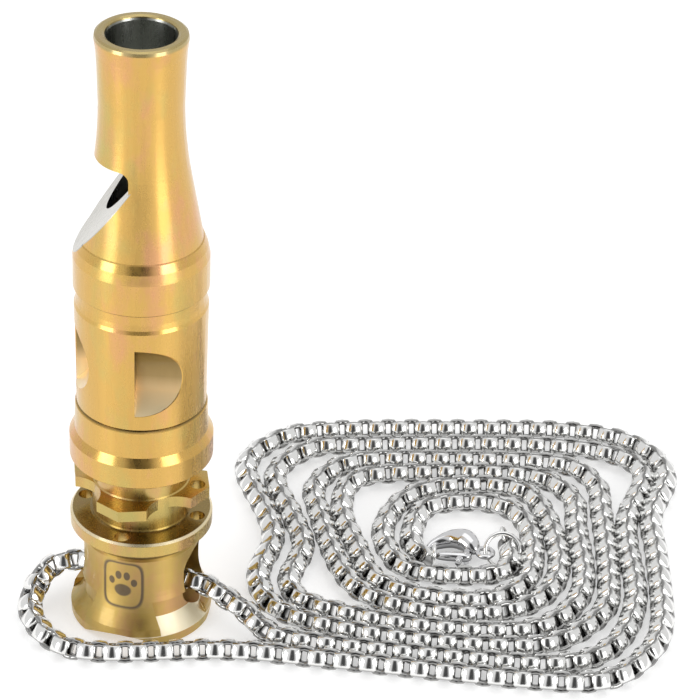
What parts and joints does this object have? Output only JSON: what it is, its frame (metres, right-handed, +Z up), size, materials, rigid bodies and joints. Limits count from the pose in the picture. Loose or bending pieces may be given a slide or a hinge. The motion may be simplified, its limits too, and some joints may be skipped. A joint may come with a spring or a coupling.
{
  "type": "training whistle",
  "caption": "Slim satin-gold metal training whistle standing on a three-footed end cap, with a steel round box chain and clasp laid beside it in a spiral.",
  "frame": {"origin": "the middle of the end cap's foot, on the surface that it stands on", "axes": "+Z is up along the whistle to the mouthpiece, -Y is the front with the etched icon, and X runs along the cross hole"},
  "size_m": [0.0669, 0.0595, 0.0686],
  "materials": {
    "gold_metal": "satin turned titanium with a warm gold oxide, fine circular tool marks and a laser-etched icon",
    "chain_steel": "polished stainless steel",
    "clasp_steel": "polished stainless steel",
    "seal_rubber": "matt black rubber"
  },
  "bodies": {
    "base": {"end_cap": "gold_metal", "cap_seal": "seal_rubber", "chain_left": "chain_steel", "chain_right": "chain_steel", "left_end_link": "chain_steel", "right_end_ring": "chain_steel", "clasp_ring": "chain_steel", "clasp_body": "clasp_steel", "clasp_pin": "clasp_steel", "clasp_spring": "clasp_steel"},
    "tube": {"barrel": "gold_metal", "barrel_seal": "seal_rubber", "collar": "gold_metal"},
    "top": {"head": "gold_metal", "head_seal": "seal_rubber", "windway_plug": "gold_metal"},
    "gate": {"clasp_lever": "clasp_steel"}
  },
  "joints": [
    {"name": "cap_screw", "type": "hinge", "parent": "base", "child": "tube", "pos_m": [0, 0, 0.022], "axis": [0, 0, 1], "range_deg": [0, 990]},
    {"name": "head_screw", "type": "hinge", "parent": "tube", "child": "top", "pos_m": [0, 0, 0.0385], "axis": [0, 0, 1], "range_deg": [0, 720]},
    {"name": "clasp_gate", "type": "hinge", "parent": "base", "child": "gate", "pos_m": [0.0315, 0.01845, 0], "axis": [0, 0, 1], "range_deg": [-22, 0], "stiffness_Nm_per_rad": 0.00002}
  ]
}
